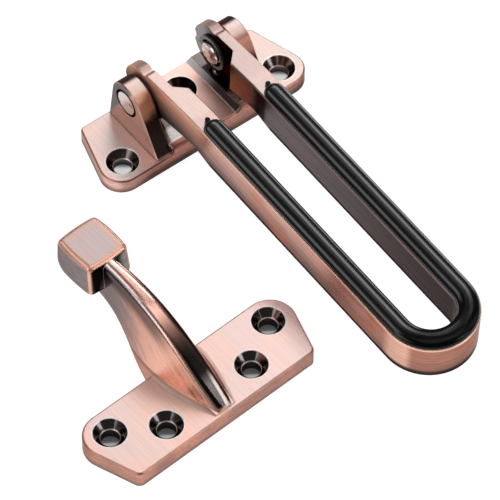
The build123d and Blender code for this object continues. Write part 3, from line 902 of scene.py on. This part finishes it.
def look_at_bar(finish):
    """Places and facings on the bar, with the distance from the slot's middle line."""
    here = finish.look(*BAR_FRAME)
    past_bend = finish.math("MINIMUM", finish.minus(here.y, U_CENTRE), 0.0)
    from_middle = finish.add("CombineXYZ", {0: here.x, 1: past_bend}).outputs[0]
    here.reach = finish.add("VectorMath", {0: from_middle}, operation="LENGTH").outputs["Value"]
    here.level = finish.fade(here.face_z, *LEVEL_FACE)
    here.upright = finish.fade(here.face_z, *UPRIGHT_FACE)
    here.underside = finish.fade(here.face_z, *UNDERSIDE_FACE)
    here.round_end = finish.fade(here.y, *ROUND_END)
    return here


print("the leg drops by", round(math.degrees(LEG_DROP), 2), "degrees and turns round", U_CENTRE, "mm")

# %% Regions of the bar
SLOT_HALF = 6.7
SLOT_SIDE = (SLOT_HALF + 0.6, SLOT_HALF + 0.3)
SLOT_START = (0.6, -0.3)
EYE_INNER = 10.0
EYE_SIDE = (EYE_INNER + 0.3, EYE_INNER + 0.1)
EYE_START = (11.0, 12.5)
OUTER_SIDE = (12.6, 12.9)
OUTER_START = (-7.0, 0.0)
BOTTOM_EDGE_LEG = -9.8
BOTTOM_EDGE_END = -8.7
BOTTOM = -10.4
BOTTOM_EDGE_START = (-6.0, -9.0)
KNUCKLE_FALL = 0.095
TOP_EDGE_HEIGHT = (-0.85, -0.55)
TOP_EDGE_FACE = (0.97, 0.90)
TOP_EDGE_END = (10.0, 8.0)


def bar_regions(finish, here):
    """The faces in the slot, the knuckles and eyes, the outer shoulders, and the top and bottom edges."""
    knuckle = finish.all_of(
        here.upright, finish.fade(here.reach, *EYE_SIDE), finish.fade(here.y, *reversed(SLOT_START))
    )
    edge_height = finish.level(here.round_end, BOTTOM_EDGE_LEG, BOTTOM_EDGE_END)
    bottom_edge = finish.all_of(
        finish.fade(here.z, edge_height, BOTTOM),
        finish.fade(here.y, *BOTTOM_EDGE_START),
        finish.minus(1.0, here.underside),
    )
    below_top = finish.plus(here.z, finish.times(finish.math("MAXIMUM", here.y, 0.0), KNUCKLE_FALL))
    top_edge = finish.all_of(
        finish.fade(below_top, *TOP_EDGE_HEIGHT),
        finish.fade(here.face_z, *TOP_EDGE_FACE),
        finish.fade(here.y, *TOP_EDGE_END),
    )
    outer = finish.times(finish.fade(here.reach, *OUTER_SIDE), finish.fade(here.y, *OUTER_START))
    slot = finish.times(finish.fade(here.reach, *SLOT_SIDE), finish.fade(here.y, *SLOT_START))
    return SimpleNamespace(
        slot=finish.all_of(here.upright, slot),
        knuckle=knuckle,
        eye_inside=finish.all_of(knuckle, finish.fade(here.y, *EYE_START)),
        shoulder=finish.all_of(here.upright, outer),
        top_edge=top_edge,
        bottom_edge=bottom_edge,
    )


print("slot", 2 * SLOT_HALF, "mm wide, eyes", 2 * EYE_INNER, "mm apart")

# %% Colours of the bar's top
BAR_WARM = (0.71, 0.485, 0.42)
BAR_GREY = (0.63, 0.505, 0.48)
SHOULDER_LEFT = (0.665, 0.50, 0.455)
SHOULDER_RIGHT = (0.55, 0.42, 0.39)
SHOULDER_CHANGE = (-2.0, 2.0)
SHOULDER_START = (-3.0, 5.0)


def bar_top_colour(finish, here, clouded):
    """Clouds of warm and grey on the legs, and plainer shoulders where the knuckles slope."""
    legs = finish.colour(clouded, BAR_WARM, BAR_GREY)
    shoulders = finish.colour(finish.fade(here.x, *SHOULDER_CHANGE), SHOULDER_LEFT, SHOULDER_RIGHT)
    return finish.colour(finish.fade(here.y, *SHOULDER_START), legs, shoulders)


print("bar tops:", [BAR_WARM, BAR_GREY])

# %% Colours of the bar's outer sides
# The sides grow grey-brown towards the bottom as painted shade.
SIDE_COPPER = (0.74, 0.46, 0.39)
SIDE_REDDER = (0.66, 0.36, 0.295)
SIDE_ORANGE = (0.86, 0.46, 0.34)
SIDE_LOW_SHADE = (0.125, 0.10, 0.094)
SIDE_HEIGHT = (-9.5, 2.0)
SIDE_CLOUDS = 5.0
REDDER_REACH = (-25.0, -55.0)
ORANGE_REACH = (-14.0, -2.0)
RED_PATCH = (0.50, 0.19, 0.125)
PATCH_CELLS = (0.05, 0.045, 0.05)
PATCH_DETAIL = 2.0
PATCH_EDGE = (0.46, 0.62)
PATCH_REACH = (-16.0, -36.0)
PATCH_SHARE = 0.8
END_DARK = (0.36, 0.155, 0.11)
END_LIGHT = (0.66, 0.33, 0.235)
END_CHANGE = (-2.0, 10.0)
END_SHARES = (0.35, 0.85)
# A pale band round the end of the bar.
PALE_END_BAND = (0.84, 0.49, 0.385)
PALE_BAND_ALONG = ((-79.0, -83.0), (-89.4, -87.2))
PALE_BAND_ACROSS = (-9.0, -11.0)
PALE_BAND_SHARE = 0.85


def bar_side_colour(finish, here, cloud):
    """Orange above and grey-brown below as painted shade, with red patches, a redder round end and a pale
    band on it.
    """
    height = finish.fade(finish.plus(here.z, finish.times(cloud, SIDE_CLOUDS)), *SIDE_HEIGHT)
    upper = finish.paint(
        SIDE_COPPER,
        (finish.fade(here.y, *REDDER_REACH), SIDE_REDDER),
        (finish.fade(here.y, *ORANGE_REACH), SIDE_ORANGE),
    )
    patches = finish.fade(finish.noise(here.place, PATCH_CELLS, PATCH_DETAIL), *PATCH_EDGE)
    red = finish.all_of(patches, finish.fade(here.y, *PATCH_REACH), PATCH_SHARE)
    round_end = finish.times(here.round_end, finish.level(height, *END_SHARES))
    end_colour = finish.colour(finish.fade(here.x, *END_CHANGE), END_DARK, END_LIGHT)
    pale_band = finish.band(here.y, *PALE_BAND_ALONG)
    pale_band = finish.all_of(pale_band, finish.fade(here.x, *PALE_BAND_ACROSS), PALE_BAND_SHARE)
    return finish.paint(
        finish.colour(height, SIDE_LOW_SHADE, upper),
        (red, RED_PATCH),
        (round_end, end_colour),
        (pale_band, PALE_END_BAND),
    )


print("bar sides:", [SIDE_ORANGE, SIDE_COPPER, SIDE_REDDER, SIDE_LOW_SHADE])

# %% Colours inside the slot and the eyes
SLOT_NEAR = (0.168, 0.148, 0.150)
SLOT_FAR = (0.052, 0.045, 0.045)
SLOT_RUN = (0.0, -90.0)
SLOT_BLACK = (0.02, 0.017, 0.017)
SLOT_BLACK_BAND = ((-0.6, -2.2), (-6.3, -4.9))
SLOT_BLACK_SHARE = 0.85
KNUCKLE = (0.35, 0.17, 0.12)
EYE_GREY = (0.32, 0.30, 0.295)
EYE_BLACK = (0.016, 0.010, 0.010)
EYE_CHANGE = (27.0, 19.5)
# Painted highlights along the top edges: weak beside the slot, strong along the outer edges.
EDGE_HIGHLIGHT_WEAK = (0.30, 0.24, 0.23)
EDGE_HIGHLIGHT = (0.95, 0.60, 0.47)
EDGE_CHANGE = (9.0, 10.0)


def inner_coats(finish, here, region):
    """The dark slot with its blacker start, the red knuckles, the black eyes and painted highlights on the
    top edges.
    """
    slot = finish.colour(finish.fade(here.y, *SLOT_RUN), SLOT_NEAR, SLOT_FAR)
    slot_start = finish.times(finish.band(here.y, *SLOT_BLACK_BAND), SLOT_BLACK_SHARE)
    eye = finish.colour(finish.fade(here.y, *EYE_CHANGE), EYE_GREY, EYE_BLACK)
    top_edge = finish.colour(finish.fade(here.reach, *EDGE_CHANGE), EDGE_HIGHLIGHT_WEAK, EDGE_HIGHLIGHT)
    return [
        (region.slot, finish.colour(slot_start, slot, SLOT_BLACK)),
        (region.knuckle, KNUCKLE),
        (region.eye_inside, eye),
        (region.top_edge, top_edge),
    ]


print("slot tones:", [SLOT_NEAR, SLOT_FAR, SLOT_BLACK])

# %% Swing bar finish
BAR_CLOUD_CELLS = (0.10, 0.035, 0.10)
BAR_TOP_LINES = (1.4, 0.03, 1.4)
BAR_SIDE_LINES = (0.05, 0.03, 1.2)
BAR_MISSED_REACH = 2.0
BAR_MISSED_CORNER = (0.42, 0.62)
BAR_MISSED_SHARE = 0.9
HIDDEN_RED = (0.34, 0.185, 0.15)
HIDDEN_BROWN = (0.22, 0.145, 0.125)
BAR_BLACK = (0.03, 0.026, 0.025)
bar_rough = SimpleNamespace(top=0.40, upright=0.27, eye=0.18, shoulder=0.6)
bar_contrast = SimpleNamespace(top=0.55, upright=1.3)


def make_bar_finish():
    finish = Finish("bar_copper")
    here = look_at_bar(finish)
    cloud = finish.noise(here.place, BAR_CLOUD_CELLS)
    clouded = finish.fade(cloud, *CLOUD_FADE)
    region = bar_regions(finish, here)
    closed = finish.fade(closed_in(finish, BAR_MISSED_REACH), *BAR_MISSED_CORNER)
    missed = finish.times(closed, BAR_MISSED_SHARE)
    colour = finish.paint(
        bar_side_colour(finish, here, cloud),
        (here.level, bar_top_colour(finish, here, clouded)),
        *inner_coats(finish, here, region),
        (here.underside, finish.colour(clouded, HIDDEN_RED, HIDDEN_BROWN)),
        (finish.any_of(region.bottom_edge, missed), BAR_BLACK),
    )
    roughness = finish.layer(
        bar_rough.top,
        (here.upright, bar_rough.upright),
        (region.eye_inside, bar_rough.eye),
        (region.shoulder, bar_rough.shoulder),
    )
    side_lines = brush_lines(finish, here.place, BAR_SIDE_LINES)
    lines = finish.level(here.upright, brush_lines(finish, here.place, BAR_TOP_LINES), side_lines)
    contrast = finish.level(here.upright, bar_contrast.top, bar_contrast.upright)
    finish_copper(finish, colour, roughness, lines, contrast)
    return finish.material


dress("swing_bar", make_bar_finish())

# %% [markdown]
# ## The bumper bead
# A glossy moulded bead, near black. One plain black would do from afar, but real mouldings are never
# perfectly even: the gloss varies a little along the length, and fine flow lines break the highlight. At
# the two ends and the round end its reflection is dimmed as painted shade.

# %% Bead finish
BEAD_BLACK = (0.0015, 0.0015, 0.0018)
BEAD_GREY = (0.004, 0.004, 0.0042)
BEAD_CLOUD_CELLS = (0.4, 0.08, 0.4)
BEAD_GRAIN_CELLS = (5.0, 5.0, 5.0)
GRAIN_DETAIL = 2.0
BEAD_ROUGHNESS = (0.16, 0.22)
BEAD_GRAIN_STRENGTH = 0.004
BEAD_GRAIN_DEPTH = 0.01 * MM
BEAD_GLOSS = 0.68
# At the ends and the round end the bead's reflection is dimmed as painted shade.
BEAD_OPEN_ENDS = (-4.8, -3.2)
BEAD_ROUND_END = (-81.0, -89.0)
FULL_GLOSS = (1.0, 1.0, 1.0)
DIMMED_REFLECTION = (0.12, 0.12, 0.12)


def make_bead_finish():
    finish = Finish("bead_black")
    place = finish.place(*BAR_FRAME)
    along = finish.split(place)[1]
    cloud = finish.noise(place, BEAD_CLOUD_CELLS)
    grain = finish.noise(place, BEAD_GRAIN_CELLS, GRAIN_DETAIL)
    bump_inputs = {"Height": grain, "Strength": BEAD_GRAIN_STRENGTH, "Distance": BEAD_GRAIN_DEPTH}
    bumped = finish.add("Bump", bump_inputs).outputs[0]
    dimmed_ends = finish.any_of(finish.fade(along, *BEAD_OPEN_ENDS), finish.fade(along, *BEAD_ROUND_END))
    finish.surface(base_color=finish.colour(cloud, BEAD_BLACK, BEAD_GREY), normal=bumped)
    finish.surface(roughness=finish.level(cloud, *BEAD_ROUGHNESS))
    finish.surface(specular_tint=finish.colour(dimmed_ends, FULL_GLOSS, DIMMED_REFLECTION))
    finish.shader.inputs["Specular IOR Level"].default_value = BEAD_GLOSS
    return finish.material


dress("bumper_strip", make_bead_finish())

# %% [markdown]
# ## Pins, clips, washers, balls and springs
# The small pieces are turned or stamped steel, and moulded washers. The pins are plated like the
# castings and polished on their end faces, where turning leaves rings. Clips and washers are black.
# Balls, springs and plugs are bright steel. Rings could be drawn on each pin by hand, but noise over
# the distance to their common axis gives both of them fine rings at once.

# %% Pin finish
RING_CELLS = (6.0, 0.5, 1.0)
STAIN_CELLS = (0.35, 0.35, 0.35)
STAIN_EDGE = (0.52, 0.66)
PIN_BRIGHT = (0.86, 0.76, 0.72)
PIN_STAIN = (0.30, 0.15, 0.11)
# A painted shade ring near the rim of each pin head, for the gap in its counterbore.
PIN_RIM = (3.36, 3.5)
PIN_RIM_SHADE = (0.03, 0.026, 0.025)
PIN_ROUGHNESS = (0.26, 0.34)
PIN_CONTRAST = 0.4


def turned_rings(finish, place):
    """Distance to the pin axis, and fine rings about it, around 0.5."""
    x, y, z = finish.split(place)
    flat = finish.add("CombineXYZ", {1: y, 2: z}).outputs[0]
    radius = finish.add("VectorMath", {0: flat}, operation="LENGTH").outputs["Value"]
    along = finish.add("CombineXYZ", {0: radius, 1: x}).outputs[0]
    return radius, finish.noise(along, RING_CELLS)


def make_pin_finish():
    finish = Finish("pin_copper_turned")
    place = finish.place(pin_axis)
    radius, rings = turned_rings(finish, place)
    stain = finish.fade(finish.noise(place, STAIN_CELLS), *STAIN_EDGE)
    colour = finish.paint(PIN_BRIGHT, (stain, PIN_STAIN), (finish.fade(radius, *PIN_RIM), PIN_RIM_SHADE))
    finish_copper(finish, colour, finish.level(stain, *PIN_ROUGHNESS), rings, PIN_CONTRAST)
    return finish.material


pin_finish = make_pin_finish()
print("pin finish made of", len(pin_finish.node_tree.nodes), "nodes")

# %% Finish of the small steel and moulded pieces
SMALL_CLOUD_CELLS = (0.8, 0.8, 0.8)
SMALL_CLOUD_DETAIL = 4.0
SMALL_GRAIN_CELLS = (6.0, 6.0, 6.0)
SMALL_GRAIN_STRENGTH = 0.08
SMALL_GRAIN_DEPTH = 0.02 * MM
SMOOTHEST = 0.8
ROUGHEST = 1.2
CLIP_TONES = (0.02, 0.019, 0.019), (0.05, 0.047, 0.046)
WASHER_TONES = (0.015, 0.015, 0.015), (0.03, 0.03, 0.03)
BALL_TONES = (0.28, 0.27, 0.27), (0.42, 0.41, 0.4)
STEEL_TONES = (0.40, 0.40, 0.41), (0.55, 0.55, 0.56)


def make_small_finish(name, tones, roughness, metallic=0.0):
    finish = Finish(name)
    place = finish.place(pin_axis)
    cloud = finish.noise(place, SMALL_CLOUD_CELLS, SMALL_CLOUD_DETAIL)
    grain = finish.noise(place, SMALL_GRAIN_CELLS, GRAIN_DETAIL)
    gloss = finish.level(grain, roughness * SMOOTHEST, roughness * ROUGHEST)
    bump_inputs = {"Height": grain, "Strength": SMALL_GRAIN_STRENGTH, "Distance": SMALL_GRAIN_DEPTH}
    bumped = finish.add("Bump", bump_inputs).outputs[0]
    colour = finish.colour(cloud, *tones)
    finish.surface(metallic=metallic, base_color=colour, roughness=gloss, normal=bumped)
    return finish.material


small_finishes = {
    "pivot_pin": pin_finish,
    "pin_clip": make_small_finish("clip_black", CLIP_TONES, roughness=0.22),
    "thrust_washer": make_small_finish("washer_black", WASHER_TONES, roughness=0.4),
    "detent_ball": make_small_finish("ball_steel_polished", BALL_TONES, roughness=0.14, metallic=1.0),
    "detent_spring": make_small_finish("spring_wire", STEEL_TONES, roughness=0.28, metallic=1.0),
    "detent_plug": make_small_finish("plug_steel", STEEL_TONES, roughness=0.32, metallic=1.0),
}
for kind, material in small_finishes.items():
    for side in ("left", "right"):
        dress(f"{kind}_{side}", material)

# %% [markdown]
# ## Floor
# The castings stand on white paper. A bright lamp could make it white, but would burn out the copper.
# So part of its white comes from emission that only the camera and reflections see, and the rest is
# plain diffuse, which keeps the soft shadows. Under the screw holes that emission is turned down as
# painted shade, apart from a painted lit crescent on one side of each bore.

# %% Floor sheet
FLOOR_HALF = 3.0

floor_mesh = bpy.data.meshes.new("studio_floor")
floor_corners = [
    (-FLOOR_HALF, -FLOOR_HALF, 0), (FLOOR_HALF, -FLOOR_HALF, 0),
    (FLOOR_HALF, FLOOR_HALF, 0), (-FLOOR_HALF, FLOOR_HALF, 0),
]
floor_mesh.from_pydata(floor_corners, [], [(0, 1, 2, 3)])
floor = bpy.data.objects.new("studio_floor", floor_mesh)
bpy.context.scene.collection.objects.link(floor)
print("floor", 2 * FLOOR_HALF, "m wide")

# %% Paper under the screw holes
UNDER_HOLE = (3.4, 3.0)
AWAY_FROM_HOLES = -9.0
CRESCENT_SIDE = (0.61, 0.79)
paper = Finish("white_paper")


def bore_front(across, along, centres):
    """How far a point of the floor lies in front of the axis of the hole above it, in millimetres."""
    depth = paper.plus(paper.times(across, CRESCENT_SIDE[0]), paper.times(along, CRESCENT_SIDE[1]))
    front = None
    for centre in centres:
        axis_depth = centre[0] * CRESCENT_SIDE[0] + centre[1] * CRESCENT_SIDE[1]
        under = paper.fade(near_holes(paper, across, along, [centre]), *UNDER_HOLE)
        ahead = paper.level(under, AWAY_FROM_HOLES, paper.minus(axis_depth, depth))
        front = ahead if front is None else paper.math("MAXIMUM", front, ahead)
    return front


def paper_under(own_frame, centres, crescent, glows):
    """Where the paper lies under these holes, and its painted shade and lit crescent there."""
    across, along = paper.split(paper.place(*own_frame))[:2]
    under = paper.fade(near_holes(paper, across, along, centres), *UNDER_HOLE)
    return under, paper.level(paper.fade(bore_front(across, along, centres), *crescent), *glows)


print("paper seen through", len(hinge_holes) + len(keeper_holes), "holes")

# %% White paper
PAPER_GREY = (0.3, 0.3, 0.3)
PAPER_GLOW = 0.91
HINGE_CRESCENT = (-2.4, -0.6)
HINGE_GLOWS = (0.02, 0.52)
KEEPER_CRESCENT = (-0.9, 0.1)
KEEPER_GLOWS = (0.0, 0.26)
WHITE = (1.0, 1.0, 1.0)

rays = paper.add("LightPath").outputs
seen = paper.plus(paper.plus(rays["Is Camera Ray"], rays["Is Glossy Ray"]), rays["Is Transmission Ray"])
brightness = paper.layer(
    PAPER_GLOW,
    paper_under((), hinge_holes, HINGE_CRESCENT, HINGE_GLOWS),
    paper_under(keeper_frame, keeper_holes, KEEPER_CRESCENT, KEEPER_GLOWS),
)
diffuse = paper.add("BsdfDiffuse", {"Color": PAPER_GREY}).outputs[0]
glow = paper.add("Emission", {"Color": WHITE, "Strength": paper.times(seen, brightness)}).outputs[0]
lit_paper = paper.add("AddShader", {0: diffuse, 1: glow}).outputs[0]
paper.links.new(lit_paper, paper.nodes["Material Output"].inputs["Surface"])
floor_mesh.materials.append(paper.material)
print("paper made of", len(paper.nodes), "nodes")

# %% [markdown]
# ## Light
# A polished metal shows its surroundings more than itself, so the lamps stand where the photograph's
# reflections ask for them. One picture of a studio all round would light it too, but nine soft
# rectangles can be moved one by one: three high behind, one in front, one overhead, one off the front
# right corner, a thin strip for the horn's ridge, one on the left, and a low one behind on the right. A
# dim grey room fills the rest.

# %% Soft lamps
LAMP_TARGET = Vector((-0.02, -0.04, 0.008))
LAMP_DISTANCE = 1.8


def softbox(name, direction, lengthwise, width, length, radiance):
    """A rectangular lamp that faces the object: its width and length in degrees as seen from there."""
    lamp = bpy.data.lights.new(name, "AREA")
    lamp.shape = "RECTANGLE"
    lamp.size = 2 * LAMP_DISTANCE * math.tan(math.radians(width / 2))
    lamp.size_y = 2 * LAMP_DISTANCE * math.tan(math.radians(length / 2))
    lamp.energy = radiance * math.pi * lamp.size * lamp.size_y
    towards = Vector(direction).normalized()
    long_side = Vector(lengthwise)
    long_side = (long_side - towards * long_side.dot(towards)).normalized()
    axes = Matrix((long_side.cross(towards), long_side, towards)).transposed().to_4x4()
    holder = bpy.data.objects.new(name, lamp)
    holder.matrix_world = Matrix.Translation(LAMP_TARGET + towards * LAMP_DISTANCE) @ axes
    bpy.context.scene.collection.objects.link(holder)
    print(name, "sends", round(lamp.energy, 2), "W")


print("lamps stand", LAMP_DISTANCE, "m off")

# %% Set up the lamps and the room
FRONT_TO_BACK = (0, 1, 0)
UPWARDS = (0, 0, 1)
DOWN_THE_RIDGE = (0, -0.67, -0.74)
ROOM_GREY = (0.10, 0.10, 0.10, 1.0)

softbox("lamp_high", (0.505, 0.478, 0.719), FRONT_TO_BACK, width=13, length=44, radiance=3.6)
softbox("lamp_high_wide", (0.28, 0.478, 0.83), FRONT_TO_BACK, width=16, length=44, radiance=0.6)
softbox("lamp_behind", (-0.48, 0.478, 0.736), FRONT_TO_BACK, width=22, length=39, radiance=1.7)
softbox("lamp_front", (0.464, -0.803, 0.375), UPWARDS, width=20, length=25, radiance=3.5)
softbox("lamp_over", (0.12, -0.22, 0.97), FRONT_TO_BACK, width=46, length=24, radiance=1.8)
softbox("lamp_corner", (0.74, -0.40, 0.54), FRONT_TO_BACK, width=34, length=20, radiance=0.9)
softbox("lamp_ridge", (0.40, -0.68, 0.61), DOWN_THE_RIDGE, width=2, length=26, radiance=2.5)
softbox("lamp_left", (-0.86, -0.06, 0.50), FRONT_TO_BACK, width=22, length=34, radiance=2.2)
softbox("lamp_low", (0.90, 0.42, 0.13), UPWARDS, width=26, length=14, radiance=3.0)

world = bpy.data.worlds.new("dim_room")
world.use_nodes = True
world.node_tree.nodes["Background"].inputs["Color"].default_value = ROOM_GREY
bpy.context.scene.world = world
bpy.context.scene.view_settings.view_transform = "Standard"
